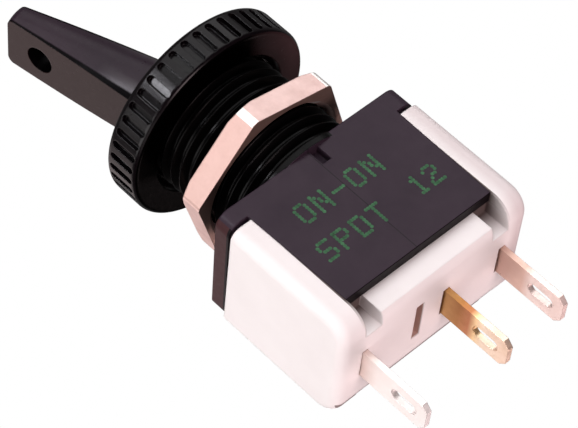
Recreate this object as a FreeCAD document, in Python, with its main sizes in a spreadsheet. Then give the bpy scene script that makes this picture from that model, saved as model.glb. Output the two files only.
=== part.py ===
import FreeCAD, Part
import math
import os
import re
import Sketcher

# Panel toggle switch: single-pole changeover with a threaded bushing and two stable positions.
# The origin is on the bushing's axis where it leaves the housing. +Z runs out along the bushing to the
# lever, -Y is the printed front, and the three terminals stand in a row along X. The lever leans to -X.

doc = FreeCAD.newDocument("main_switch")

sizes = {
    # Cover: roof plate, front and back plates
    "roof_end_inset": 0.15,
    "roof_end_slant": 0.3,
    "roof_thickness": 1.8,
    "roof_flange": 1.45,
    "roof_step_inset": 0.5,
    "roof_front_radius": 1.2,
    "roof_back_radius": 0.9,
    "key_height": 0.45,
    "key_width": 1.0,
    "case_depth": 11.2,
    "plate_length": 15.35,
    "plate_end_length": 14.9,
    "plate_height": 9.65,
    "plate_thickness": 1.0,
    "back_plate_thickness": 0.35,
    "notch_offset": 0.3,
    "notch_width": 0.9,
    "notch_height": 1.5,
    "notch_depth": 0.7,
    # Bushing and its bore
    "thread_diameter": 12.0,
    "thread_pitch": 1.0,
    "thread_depth": 0.6,
    "bushing_length": 12.0,
    "mouth_diameter": 10.4,
    "throat_diameter": 6.8,
    "throat_height": 8.5,
    "lower_bore_diameter": 9.4,
    # Lever, measured along its own axis from the pivot
    "pivot_height": 6.0,
    "lever_tilt": 16.17,
    "lever_length": 21.7,
    "lever_tip_diameter": 5.14,
    "lever_root_diameter": 6.62,
    "lever_root_height": 6.6,
    "lever_tip_thickness": 1.8,
    "lever_root_thickness": 5.55,
    "lever_tip_rounding": 0.6,
    "eye_diameter": 2.4,
    "eye_inset": 3.27,
    "waist_diameter": 5.0,
    "waist_height": 3.6,
    "ball_diameter": 7.6,
    "stem_diameter": 4.8,
    "stem_length": 9.5,
    "stem_bore_roof": 0.8,
    "pin_diameter": 1.6,
    "pin_length": 8.6,
    # Seal round the ball
    "seal_section": 0.8,
    "seal_angle": 30.0,
    # Clip under the roof
    "clip_length": 13.0,
    "clip_thickness": 1.0,
    "clip_window": 10.0,
    "prong_width": 1.5,
    "prong_thickness": 0.35,
    # Plunger and its spring
    "plunger_diameter": 2.2,
    "plunger_tip_radius": 0.8,
    "plunger_length": 8.0,
    "spring_wire": 0.28,
    "spring_turns": 5,
    "spring_steps": 14,
    "spring_sides": 6,
    # Base
    "base_length": 19.3,
    "base_height": 11.9,
    "base_wall": 1.1,
    "floor_thickness": 3.0,
    "block_length": 11.5,
    "recess_depth": 1.3,
    "recess_height": 2.4,
    "end_wall_rounding": 2.0,
    "end_wall_edge_radius": 0.9,
    # Terminals
    "terminal_spread": 7.2,
    "common_offset": 1.27,
    "blade_width": 2.8,
    "blade_thickness": 0.5,
    "blade_reach": 6.55,
    "blade_chamfer": 0.55,
    "eyelet_length": 2.5,
    "eyelet_width": 1.1,
    "eyelet_inset": 2.2,
    "foot_reach": 4.7,
    "spare_slot_length": 4.0,
    "spare_slot_width": 0.8,
    "spare_slot_offset": 1.6,
    # Contacts and rocker
    "contact_spread": 5.6,
    "contact_diameter": 2.0,
    "contact_height": 0.45,
    "contact_edge": 0.15,
    "shank_diameter": 1.0,
    "contact_gap": 0.05,
    "rocker_tilt": 8.0,
    "rocker_height": 2.5,
    "rocker_width": 2.6,
    "rocker_thickness": 0.4,
    "saddle_lift": 0.2,
    "trunnion_diameter": 0.7,
    "cradle_length": 3.2,
    "cradle_thickness": 0.4,
    "ear_length": 1.8,
    "rivet_head_diameter": 1.6,
    "rivet_head_height": 0.35,
    # Nuts
    "hex_wall": 0.95,
    "hex_corner_cut": 0.1129,
    "hex_thickness": 2.0,
    "hex_height": 3.37,
    "hex_turn": 11.5,
    "hex_chamfer": 0.48,
    "ring_wall": 2.775,
    "ring_thickness": 3.25,
    "ring_height": 9.45,
    "ring_turn": 3.4,
    "ring_rounding": 0.45,
    "knurl_count": 45,
    "knurl_width": 0.66,
    "knurl_depth": 0.45,
    "knurl_rear_rim": 0.32,
    "knurl_front_rim": 0.5,
    "nut_countersink": 0.5,
    # Clearances
    "running_clearance": 0.1,
    "fit_clearance": 0.05,
    "press_clearance": 0.02,
}

sheet = doc.addObject("Spreadsheet::Sheet", "Sizes")
for row, (alias, number) in enumerate(sizes.items(), start=1):
    sheet.set(f"A{row}", alias)
    sheet.set(f"B{row}", str(number))
    sheet.setAlias(f"B{row}", alias)
doc.recompute()

# Heights that several pieces share
base_bottom = "(roof_thickness + base_height)"
floor_top = "(roof_thickness + base_height - floor_thickness)"
rocker_axis = "(roof_thickness + base_height - floor_thickness - rocker_height)"
roof_front_end = "(base_length / 2 - roof_end_inset)"
roof_back_end = "(base_length / 2 - roof_end_inset - roof_end_slant)"
core_front = "(case_depth / 2 - plate_thickness)"
core_back = "(case_depth / 2 - back_plate_thickness)"
# The plates and the gap they fill between the end walls both narrow towards the terminals
seat_end_length = "(plate_length - (plate_length - plate_end_length) * base_height / plate_height)"
nut_bore = "(thread_diameter + 2 * fit_clearance)"


def bound(text):
    """Point every size named in an expression at its cell."""
    def cell(word):
        name = word.group()
        return f"Sizes.{name}" if name in sizes else name
    return re.sub(r"[a-z_]+", cell, text)


def value(alias):
    return float(sheet.get(alias))


def origin_plane(body, role):
    return next(feature for feature in body.Origin.OriginFeatures if feature.Role == role)


def new_body(label):
    body = doc.addObject("PartDesign::Body", label)
    body.Label = label
    return body


def new_sketch(body, name, role, lift):
    sketch = body.newObject("Sketcher::SketchObject", name)
    sketch.AttachmentSupport = [(origin_plane(body, role), "")]
    sketch.MapMode = "FlatFace"
    sketch.setExpression("AttachmentOffset.Base.z", bound(lift))
    return sketch


def place_vertex(sketch, geometry, vertex, point, corner):
    """Dimension one vertex or centre from the sketch's origin by two expressions."""
    for letter, start, text in (("X", point.x, corner[0]), ("Y", point.y, corner[1])):
        distance = Sketcher.Constraint("Distance" + letter, -1, 1, geometry, vertex, start)
        index = sketch.addConstraint(distance)
        name = f"{letter.lower()}_{geometry}"
        sketch.renameConstraint(index, name)
        sketch.setExpression(f"Constraints.{name}", bound(text))


def add_polygon(sketch, corners):
    """Closed outline with straight sides, one pair of expressions for each corner."""
    first = sketch.GeometryCount
    count = len(corners)
    turn = 2 * math.pi / count
    points = [FreeCAD.Vector(10 * math.cos(turn * i), 10 * math.sin(turn * i), 0) for i in range(count)]
    for i in range(count):
        sketch.addGeometry(Part.LineSegment(points[i], points[(i + 1) % count]), False)
    for i in range(count):
        sketch.addConstraint(Sketcher.Constraint("Coincident", first + i, 2, first + (i + 1) % count, 1))
    for i, corner in enumerate(corners):
        place_vertex(sketch, first + i, 1, points[i], corner)


def add_rectangle(sketch, left, right, low, high):
    add_polygon(sketch, [(left, low), (right, low), (right, high), (left, high)])


def add_circle(sketch, across, up, diameter):
    centre = FreeCAD.Vector(0, 0, 0)
    geometry = sketch.addGeometry(Part.Circle(centre, FreeCAD.Vector(0, 0, 1), 1.0), False)
    place_vertex(sketch, geometry, 3, centre, (across, up))
    index = sketch.addConstraint(Sketcher.Constraint("Diameter", geometry, 2.0))
    sketch.renameConstraint(index, f"diameter_{geometry}")
    sketch.setExpression(f"Constraints.diameter_{geometry}", bound(diameter))


def add_slot(sketch, across, low, high, width):
    """Upright slot with round ends, centred on the given line, from low to high overall."""
    first = sketch.GeometryCount
    normal = FreeCAD.Vector(0, 0, 1)
    centres = [FreeCAD.Vector(0, 2, 0), FreeCAD.Vector(0, -2, 0)]
    for centre, start in zip(centres, (0.0, math.pi)):
        circle = Part.Circle(centre, normal, 1.0)
        sketch.addGeometry(Part.ArcOfCircle(circle, start, start + math.pi), False)
    sketch.addGeometry(Part.LineSegment(FreeCAD.Vector(-1, 2, 0), FreeCAD.Vector(-1, -2, 0)), False)
    sketch.addGeometry(Part.LineSegment(FreeCAD.Vector(1, -2, 0), FreeCAD.Vector(1, 2, 0)), False)
    for arc, arc_end, line, line_end in ((0, 2, 2, 1), (2, 2, 1, 1), (1, 2, 3, 1), (3, 2, 0, 1)):
        sketch.addConstraint(Sketcher.Constraint("Tangent", first + arc, arc_end, first + line, line_end))
    sketch.addConstraint(Sketcher.Constraint("Equal", first, first + 1))
    place_vertex(sketch, first, 3, centres[0], (across, f"{high} - {width} / 2"))
    place_vertex(sketch, first + 1, 3, centres[1], (across, f"{low} + {width} / 2"))
    index = sketch.addConstraint(Sketcher.Constraint("Radius", first, 1.0))
    sketch.renameConstraint(index, "round_end")
    sketch.setExpression("Constraints.round_end", bound(f"{width} / 2"))


def extrude(body, kind, name, sketch, length, reverse=False, both_ways=False):
    feature = body.newObject(f"PartDesign::{kind}", name)
    feature.Profile = sketch
    feature.setExpression("Length", bound(length))
    feature.Reversed = reverse
    if both_ways:
        feature.SideType = "Symmetric"
    return feature


def turn_profile(body, kind, name, corners):
    """Turn a closed outline of radius and height round the Z axis."""
    sketch = new_sketch(body, f"{name}_profile", "XZ_Plane", "0")
    add_polygon(sketch, corners)
    feature = body.newObject(f"PartDesign::{kind}", name)
    feature.Profile = sketch
    feature.ReferenceAxis = (sketch, ["V_Axis"])
    feature.Angle = 360
    return feature


def primitive(body, kind, name, role, sizes_given, offset):
    """Additive or subtractive solid primitive on an origin plane."""
    feature = body.newObject(f"PartDesign::{kind}", name)
    feature.AttachmentSupport = [(origin_plane(body, role), "")]
    feature.MapMode = "FlatFace"
    for axis, text in zip("xyz", offset):
        feature.setExpression(f"AttachmentOffset.Base.{axis}", bound(text))
    for name_of_size, text in sizes_given.items():
        feature.setExpression(name_of_size, bound(text))
    return feature


def edges_where(feature, test):
    doc.recompute()
    return [f"Edge{i}" for i, edge in enumerate(feature.Shape.Edges, start=1) if test(edge)]


def dress(body, kind, name, base, size_name, size, test):
    """Fillet or chamfer on the edges of the base feature that pass the test."""
    edges = edges_where(base, test)
    feature = body.newObject(f"PartDesign::{kind}", name)
    feature.Base = (base, edges)
    feature.setExpression(size_name, bound(size))
    return feature


def near(a, b):
    return abs(a - b) < 1e-4


# Housing cover: roof, plates and threaded bushing in one moulding
def make_cover():
    body = new_body("housing_cover")
    sketch = new_sketch(body, "roof_outline", "XY_Plane", "0")
    add_polygon(sketch, [(f"-{roof_front_end}", "-case_depth / 2"), (roof_front_end, "-case_depth / 2"),
                         (roof_back_end, "case_depth / 2"), (f"-{roof_back_end}", "case_depth / 2")])
    extrude(body, "Pad", "roof", sketch, "roof_flange", reverse=True)
    # Low key along the front edge, from the notch to the right end, that follows the roof's slanting end
    sketch = new_sketch(body, "key_outline", "XY_Plane", "0")
    key_end = f"({roof_front_end} - roof_end_slant * key_width / case_depth)"
    add_polygon(sketch, [("notch_width / 2 + notch_offset", "-case_depth / 2"),
                         (roof_front_end, "-case_depth / 2"),
                         (key_end, "-case_depth / 2 + key_width"),
                         ("notch_width / 2 + notch_offset", "-case_depth / 2 + key_width")])
    key = extrude(body, "Pad", "key", sketch, "key_height")
    front = dress(body, "Fillet", "front_corners", key, "Radius", "roof_front_radius",
                  lambda edge: edge.BoundBox.ZLength > value("roof_flange") / 2 and edge.CenterOfMass.y < 0)
    dress(body, "Fillet", "back_corners", front, "Radius", "roof_back_radius",
          lambda edge: near(edge.BoundBox.ZLength, value("roof_flange")) and edge.CenterOfMass.y > 0)
    # Step below the flange, a little smaller all round, that leaves a shadow gap above the base's end walls
    sketch = new_sketch(body, "roof_step_outline", "XY_Plane", "-roof_flange")
    add_rectangle(sketch, f"-{roof_back_end} + roof_step_inset", f"{roof_back_end} - roof_step_inset",
                  "-case_depth / 2 + roof_step_inset", "case_depth / 2 - roof_step_inset / 2")
    extrude(body, "Pad", "roof_step", sketch, "roof_thickness - roof_flange", reverse=True)

    for side, lift, thickness in (("front", "case_depth / 2 - plate_thickness", "plate_thickness"),
                                  ("back", "-case_depth / 2", "back_plate_thickness")):
        sketch = new_sketch(body, f"{side}_plate_outline", "XZ_Plane", lift)
        add_polygon(sketch, [("-plate_length / 2", "-roof_flange"),
                             ("-plate_end_length / 2", "-roof_thickness - plate_height"),
                             ("plate_end_length / 2", "-roof_thickness - plate_height"),
                             ("plate_length / 2", "-roof_flange")])
        extrude(body, "Pad", f"{side}_plate", sketch, thickness)

    sketch = new_sketch(body, "bushing_outline", "XY_Plane", "0")
    add_circle(sketch, "0", "0", "thread_diameter")
    bushing = extrude(body, "Pad", "bushing", sketch, "bushing_length")
    dress(body, "Chamfer", "bushing_lead", bushing, "Size", "thread_depth",
          lambda edge: near(edge.BoundBox.ZMin, value("bushing_length")) and near(edge.BoundBox.ZLength, 0))

    # One ring groove of the thread form, repeated up the bushing at the pitch
    groove = turn_profile(body, "Groove", "thread_groove", [
        ("thread_diameter / 2 + thread_depth / 8", "0.5 * thread_pitch"),
        ("thread_diameter / 2 + thread_depth / 8", "1.5 * thread_pitch"),
        ("thread_diameter / 2 - thread_depth", "1.1 * thread_pitch"),
        ("thread_diameter / 2 - thread_depth", "0.9 * thread_pitch")])
    thread = body.newObject("PartDesign::LinearPattern", "thread")
    thread.Originals = [groove]
    thread.Direction = (groove.Profile[0], ["V_Axis"])
    thread.Mode = "Spacing"
    thread.setExpression("Offset", bound("thread_pitch"))
    thread.setExpression("Occurrences", bound("floor(bushing_length / thread_pitch) - 1"))
    body.Tip = thread

    # Bore: flared mouth, throat, ball seat and the wide lower bore that the lever's stem swings in
    turn_profile(body, "Groove", "mouth", [
        ("0", "pivot_height"),
        ("throat_diameter / 2", "pivot_height"),
        ("throat_diameter / 2", "throat_height"),
        ("mouth_diameter / 2", "bushing_length"),
        ("mouth_diameter / 2", "bushing_length + thread_pitch"),
        ("0", "bushing_length + thread_pitch")])
    primitive(body, "SubtractiveSphere", "ball_seat", "XY_Plane",
              {"Radius": "ball_diameter / 2 + running_clearance"}, ("0", "0", "pivot_height"))
    turn_profile(body, "Groove", "lower_bore", [
        ("0", "-2 * roof_thickness"),
        ("lower_bore_diameter / 2", "-2 * roof_thickness"),
        ("lower_bore_diameter / 2", "-roof_thickness + clip_thickness"),
        ("ball_diameter / 2 + running_clearance", "pivot_height - pin_diameter"),
        ("ball_diameter / 2 + running_clearance", "pivot_height"),
        ("0", "pivot_height")])
    primitive(body, "SubtractiveTorus", "seal_groove", "XY_Plane",
              {"Radius1": seal_radius, "Radius2": "seal_section / 2 + fit_clearance / 2"},
              ("0", "0", seal_height))

    # Slots that take the cross pin from below
    sketch = new_sketch(body, "pin_slot_outline", "XZ_Plane", "0")
    add_rectangle(sketch, "-pin_diameter / 2 - fit_clearance", "pin_diameter / 2 + fit_clearance",
                  "-2 * roof_thickness", "pivot_height")
    slot_width = "pin_length + 2 * running_clearance"
    extrude(body, "Pocket", "pin_slot", sketch, slot_width, both_ways=True)
    sketch = new_sketch(body, "pin_seat_outline", "XZ_Plane", "0")
    add_circle(sketch, "0", "pivot_height", "pin_diameter + 2 * fit_clearance")
    extrude(body, "Pocket", "pin_seat", sketch, slot_width, both_ways=True)

    # Pocket for the clip, and the small notch in the front edge of the roof
    sketch = new_sketch(body, "clip_pocket_outline", "XY_Plane", "-roof_thickness")
    add_rectangle(sketch, "-clip_length / 2 - fit_clearance", "clip_length / 2 + fit_clearance",
                  "-pin_length / 2 - fit_clearance", "pin_length / 2 + fit_clearance")
    extrude(body, "Pocket", "clip_pocket", sketch, "clip_thickness", reverse=True)
    sketch = new_sketch(body, "notch_outline", "XY_Plane", "0")
    add_rectangle(sketch, "-notch_width / 2 + notch_offset", "notch_width / 2 + notch_offset",
                  "-case_depth / 2 - notch_depth", "-case_depth / 2 + notch_depth")
    extrude(body, "Pocket", "notch", sketch, "notch_height")
    return body


# Base: hollow core between two rounded end walls, with a centre block and corner recesses below
def make_base():
    body = new_body("terminal_base")
    sketch = new_sketch(body, "block_outline", "XY_Plane", "-roof_thickness")
    add_rectangle(sketch, "-base_length / 2", "base_length / 2",
                  "-case_depth / 2 + fit_clearance", "case_depth / 2 - fit_clearance")
    block = extrude(body, "Pad", "block", sketch, "base_height", reverse=True)
    bottom = -value("roof_thickness") - value("base_height")
    end = value("base_length") / 2
    rounded = dress(body, "Fillet", "foot_rounding", block, "Radius", "end_wall_rounding",
                    lambda edge: near(edge.BoundBox.ZMax, bottom) and near(edge.BoundBox.YLength, 0))
    dress(body, "Fillet", "end_edges", rounded, "Radius", "end_wall_edge_radius",
          lambda edge: near(edge.BoundBox.XLength, 0) and near(abs(edge.CenterOfMass.x), end)
          and edge.CenterOfMass.z < -value("roof_thickness") - 1e-3)

    # Between the end walls the core stands back to make room for the cover's plates
    for side, lift, reverse in (("front", core_front, True), ("back", f"-{core_back}", False)):
        sketch = new_sketch(body, f"{side}_seat_outline", "XZ_Plane", lift)
        add_polygon(sketch, [("-plate_length / 2", "-roof_thickness"),
                             (f"-{seat_end_length} / 2", f"-{base_bottom}"),
                             (f"{seat_end_length} / 2", f"-{base_bottom}"),
                             ("plate_length / 2", "-roof_thickness")])
        extrude(body, "Pocket", f"{side}_seat", sketch, "2 * plate_thickness", reverse=reverse)

    sketch = new_sketch(body, "recess_outline", "XY_Plane", f"-{base_bottom}")
    for across in ("-", ""):
        for along, core in (("-", core_front), ("", core_back)):
            add_rectangle(sketch, f"{across}block_length / 2", f"{across}{seat_end_length} / 2",
                          f"{along}({core} - recess_depth)", f"{along}(case_depth / 2)")
    extrude(body, "Pocket", "recesses", sketch, "recess_height", reverse=True)

    # Contact chamber, open towards the cover
    sketch = new_sketch(body, "chamber_outline", "XY_Plane", "-roof_thickness")
    add_rectangle(sketch, "-plate_length / 2", "plate_length / 2",
                  f"-{core_front} + base_wall", f"{core_front} - base_wall")
    extrude(body, "Pocket", "chamber", sketch, "base_height - floor_thickness")

    # Slots for the three blades, the spare slot and the pocket for the rivet's tail
    sketch = new_sketch(body, "blade_slots_outline", "XY_Plane", f"-{floor_top}")
    half = "(blade_thickness / 2 + fit_clearance)"
    for place in ("-terminal_spread", "terminal_spread", "common_offset"):
        add_rectangle(sketch, f"{place} - {half}", f"{place} + {half}",
                      "-blade_width / 2 - fit_clearance", "blade_width / 2 + fit_clearance")
    add_rectangle(sketch, "-spare_slot_offset - spare_slot_width / 2",
                  "-spare_slot_offset + spare_slot_width / 2",
                  "-spare_slot_length / 2", "spare_slot_length / 2")
    extrude(body, "Pocket", "blade_slots", sketch, "floor_thickness")
    sketch = new_sketch(body, "rivet_pocket_outline", "XY_Plane", f"-{floor_top}")
    add_circle(sketch, "0", "0", "rivet_head_diameter + 2 * running_clearance")
    extrude(body, "Pocket", "rivet_pocket", sketch, "rivet_head_height + fit_clearance")
    return body


def set_tilt(body, angle, x="0", z="0"):
    """Turn a body about +Y and move it, both from the sheet."""
    body.Placement = FreeCAD.Placement(FreeCAD.Vector(0, 0, 0), FreeCAD.Rotation(FreeCAD.Vector(0, 1, 0), 1))
    body.setExpression("Placement.Rotation.Angle", bound(angle))
    body.setExpression("Placement.Base.x", bound(x))
    body.setExpression("Placement.Base.z", bound(z))


# Lever: cone with two flats that run together at the tip, ball and hollow stem, made upright about its pivot
def make_lever():
    body = new_body("toggle_lever")
    turned = turn_profile(body, "Revolution", "lever_turned", [
        ("0", "-stem_length"),
        ("stem_diameter / 2", "-stem_length"),
        ("stem_diameter / 2", "0"),
        ("waist_diameter / 2", "0"),
        ("waist_diameter / 2", "waist_height"),
        ("lever_root_diameter / 2", "lever_root_height"),
        ("lever_tip_diameter / 2", "lever_length"),
        ("0", "lever_length")])
    dress(body, "Fillet", "tip_rounding", turned, "Radius", "lever_tip_rounding",
          lambda edge: near(edge.BoundBox.ZMin, value("lever_length")) and near(edge.BoundBox.ZLength, 0))
    primitive(body, "AdditiveSphere", "ball", "XY_Plane", {"Radius": "ball_diameter / 2"}, ("0", "0", "0"))
    for side, sign in (("left", "-"), ("right", "")):
        sketch = new_sketch(body, f"{side}_flat_outline", "XZ_Plane", "0")
        add_polygon(sketch, [
            (f"{sign}lever_root_thickness / 2", "lever_root_height"),
            (f"{sign}lever_root_diameter", "lever_root_height"),
            (f"{sign}lever_root_diameter", "lever_length + 1"),
            (f"{sign}lever_tip_thickness / 2", "lever_length + 1"),
            (f"{sign}lever_tip_thickness / 2", "lever_length")])
        extrude(body, "Pocket", f"{side}_flat", sketch, "2 * lever_root_diameter", both_ways=True)
        sketch = new_sketch(body, f"{side}_run_out_outline", "XZ_Plane", "0")
        add_polygon(sketch, [
            (f"{sign}lever_root_thickness / 2", "lever_root_height"),
            (f"{sign}waist_diameter / 2", "waist_height"),
            (f"{sign}lever_root_diameter", "waist_height"),
            (f"{sign}lever_root_diameter", "lever_root_height")])
        extrude(body, "Pocket", f"{side}_run_out", sketch, "2 * lever_root_diameter", both_ways=True)
    sketch = new_sketch(body, "eye_outline", "YZ_Plane", "0")
    add_circle(sketch, "0", "lever_length - eye_inset", "eye_diameter")
    extrude(body, "Pocket", "eye", sketch, "lever_root_diameter", both_ways=True)
    sketch = new_sketch(body, "pin_hole_outline", "XZ_Plane", "0")
    add_circle(sketch, "0", "0", "pin_diameter + press_clearance")
    extrude(body, "Pocket", "pin_hole", sketch, "2 * ball_diameter", both_ways=True)
    sketch = new_sketch(body, "stem_bore_outline", "XY_Plane", "-stem_length")
    add_circle(sketch, "0", "0", "plunger_diameter + 2 * fit_clearance")
    extrude(body, "Pocket", "stem_bore", sketch, "stem_length - pin_diameter / 2 - stem_bore_roof",
            reverse=True)
    set_tilt(body, "-lever_tilt", z="pivot_height")
    return body


def make_pin():
    body = new_body("pivot_pin")
    sketch = new_sketch(body, "pin_outline", "XZ_Plane", "0")
    add_circle(sketch, "0", "0", "pin_diameter")
    extrude(body, "Pad", "pin", sketch, "pin_length", both_ways=True)
    set_tilt(body, "-lever_tilt", z="pivot_height")
    return body


# Clip: a plate under the roof whose two prongs close the pin's slots from below
def make_clip():
    body = new_body("pin_retainer")
    sketch = new_sketch(body, "clip_outline", "XY_Plane", "-roof_thickness")
    add_rectangle(sketch, "-clip_length / 2", "clip_length / 2", "-pin_length / 2", "pin_length / 2")
    extrude(body, "Pad", "clip_plate", sketch, "clip_thickness")
    sketch = new_sketch(body, "prong_outline", "XY_Plane", "-roof_thickness")
    for sign in ("-", ""):
        add_rectangle(sketch, "-prong_width / 2", "prong_width / 2",
                      f"{sign}(pin_length / 2 - prong_thickness)", f"{sign}pin_length / 2")
    extrude(body, "Pad", "prongs", sketch,
            "roof_thickness + pivot_height - pin_diameter / 2 - fit_clearance")
    sketch = new_sketch(body, "window_outline", "XY_Plane", "-roof_thickness")
    window = "stem_diameter / 2 + 3 * running_clearance"
    add_rectangle(sketch, "-clip_window / 2", "clip_window / 2", f"-({window})", window)
    extrude(body, "Pocket", "window", sketch, "2 * clip_thickness", both_ways=True)
    return body


# The seal's ring lies where it just clears the ball, above its equator
seal_reach = "(ball_diameter / 2 + fit_clearance + seal_section / 2)"
seal_radius = f"{seal_reach} * cos(seal_angle * 1 deg)"
seal_height = f"pivot_height + {seal_reach} * sin(seal_angle * 1 deg)"


def make_seal():
    body = new_body("lever_seal")
    primitive(body, "AdditiveTorus", "seal", "XY_Plane",
              {"Radius1": seal_radius, "Radius2": "seal_section / 2"}, ("0", "0", seal_height))
    return body


# The plunger's tip reaches from the pivot to just above the rocker's axis
plunger_reach = f"(pivot_height + {rocker_axis} - saddle_lift)"


def make_plunger():
    body = new_body("plunger")
    tip = f"-{plunger_reach} + plunger_tip_radius"
    turn_profile(body, "Revolution", "plunger_shaft", [
        ("0", tip),
        ("plunger_tip_radius", tip),
        ("plunger_diameter / 2", f"{tip} + plunger_tip_radius"),
        ("plunger_diameter / 2", f"-{plunger_reach} + plunger_length"),
        ("0", f"-{plunger_reach} + plunger_length")])
    primitive(body, "AdditiveSphere", "plunger_tip", "XY_Plane", {"Radius": "plunger_tip_radius"},
              ("0", "0", tip))
    set_tilt(body, "-lever_tilt", z="pivot_height")
    return body


# Spring: wire on a helix between the end of the stem's bore and the plunger, in short straight lengths
def make_spring():
    top = -value("pin_diameter") / 2 - value("stem_bore_roof")
    reach = (value("pivot_height") + value("roof_thickness") + value("base_height")
             - value("floor_thickness") - value("rocker_height") - value("saddle_lift"))
    low = value("plunger_length") - reach
    wire = value("spring_wire")
    clear = value("fit_clearance")
    radius = value("plunger_diameter") / 2 - wire / 2 - clear
    rise = top - low - wire - 2 * clear
    steps = int(value("spring_turns") * value("spring_steps"))
    sides = int(value("spring_sides"))

    def section(step):
        angle = 2 * math.pi * value("spring_turns") * step / steps
        outward = FreeCAD.Vector(math.cos(angle), math.sin(angle), 0)
        centre = outward * radius + FreeCAD.Vector(0, 0, low + wire / 2 + clear + rise * step / steps)
        corners = []
        for i in range(sides):
            around = 2 * math.pi * (i + 0.5) / sides
            corners.append(centre + outward * (wire / 2 * math.cos(around))
                           + FreeCAD.Vector(0, 0, wire / 2 * math.sin(around)))
        return Part.makePolygon(corners + corners[:1])

    spring = doc.addObject("Part::Feature", "plunger_spring")
    spring.Shape = Part.makeLoft([section(step) for step in range(steps + 1)], True, True)
    set_tilt(spring, "-lever_tilt", z="pivot_height")
    return spring


# Rocker: the saddle follows the arc of the plunger's tip as lever and rocker turn together
def make_rocker():
    tilt = math.radians(value("rocker_tilt"))
    lean = math.radians(value("lever_tilt"))
    floor = value("roof_thickness") + value("base_height") - value("floor_thickness")
    axis = floor - value("rocker_height")
    span = value("pivot_height") + axis
    tip = value("plunger_tip_radius")
    arm = span - value("saddle_lift") - tip
    thickness = value("rocker_thickness")

    # Centre of the plunger's tip, seen from the rocker, upright and at full lean
    across, drop = arm * math.sin(lean), span - arm * math.cos(lean)
    end_x = across * math.cos(tilt) - drop * math.sin(tilt)
    end_z = across * math.sin(tilt) + drop * math.cos(tilt)
    middle_z = span - arm
    rise = end_z - middle_z
    path_radius = (end_x ** 2 + rise ** 2) / (2 * rise)
    centre_z = middle_z + path_radius
    top_radius = path_radius + tip + value("fit_clearance")
    rim_x = end_x * (1 + tip / path_radius) + thickness

    # Underside of the contact pad, level when its side is down
    pad_z = axis - floor + value("blade_thickness") + 2 * value("contact_height") + value("contact_gap")
    spread = value("contact_spread")
    half_pad = value("contact_diameter") / 2

    def pad_point(x, z):
        return FreeCAD.Vector(x * math.cos(tilt) - z * math.sin(tilt), 0,
                              x * math.sin(tilt) + z * math.cos(tilt))

    def saddle_point(radius, x):
        return FreeCAD.Vector(x, 0, centre_z - math.sqrt(radius ** 2 - x ** 2))

    def mirrored(point):
        return FreeCAD.Vector(-point.x, 0, point.z)

    def side_points(radius, lift):
        rim = saddle_point(radius, rim_x)
        return [rim, pad_point(spread - half_pad, pad_z + lift), pad_point(spread + half_pad, pad_z + lift)]

    upper = side_points(top_radius, thickness)
    lower = side_points(top_radius + thickness, 0)
    # The sloping web keeps its thickness, so its lower corner stands in by that much
    lower[0] = saddle_point(top_radius + thickness, rim_x - thickness)
    lower[1] = pad_point(spread - half_pad - thickness, pad_z)
    edges = []
    for points, radius in ((upper, top_radius), (lower, top_radius + thickness)):
        edges.append(Part.Arc(mirrored(points[0]), saddle_point(radius, 0), points[0]).toShape())
        for first, last in zip(points, points[1:]):
            edges.append(Part.LineSegment(first, last).toShape())
            edges.append(Part.LineSegment(mirrored(first), mirrored(last)).toShape())
    edges.append(Part.LineSegment(upper[-1], lower[-1]).toShape())
    edges.append(Part.LineSegment(mirrored(upper[-1]), mirrored(lower[-1])).toShape())
    face = Part.Face(Part.Wire(Part.__sortEdges__(edges)))
    width = value("rocker_width")
    blade = face.extrude(FreeCAD.Vector(0, width, 0))
    blade.translate(FreeCAD.Vector(0, -width / 2, 0))

    # Holes for the contact buttons, square to their pads
    shank = value("shank_diameter") / 2 + value("fit_clearance") / 2
    for side in (1, -1):
        foot = pad_point(spread, pad_z - thickness)
        away = pad_point(0, 1)
        hole = Part.makeCylinder(shank, 3 * thickness, FreeCAD.Vector(side * foot.x, 0, foot.z),
                                 FreeCAD.Vector(side * away.x, 0, away.z))
        blade = blade.cut(hole)

    # Trunnions on the blade's long edges
    pivot = value("trunnion_diameter") / 2
    reach = width / 2 + 2 * value("cradle_thickness") - value("running_clearance")
    for side in (1, -1):
        stub = Part.makeCylinder(pivot, reach - width / 2 + thickness / 2,
                                 FreeCAD.Vector(0, side * (width / 2 - thickness / 2), 0),
                                 FreeCAD.Vector(0, side, 0))
        blade = blade.fuse(stub)
    rocker = doc.addObject("Part::Feature", "rocker_blade")
    rocker.Shape = blade.removeSplitter()
    set_tilt(rocker, "rocker_tilt", z=f"-{rocker_axis}")
    return rocker


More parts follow.
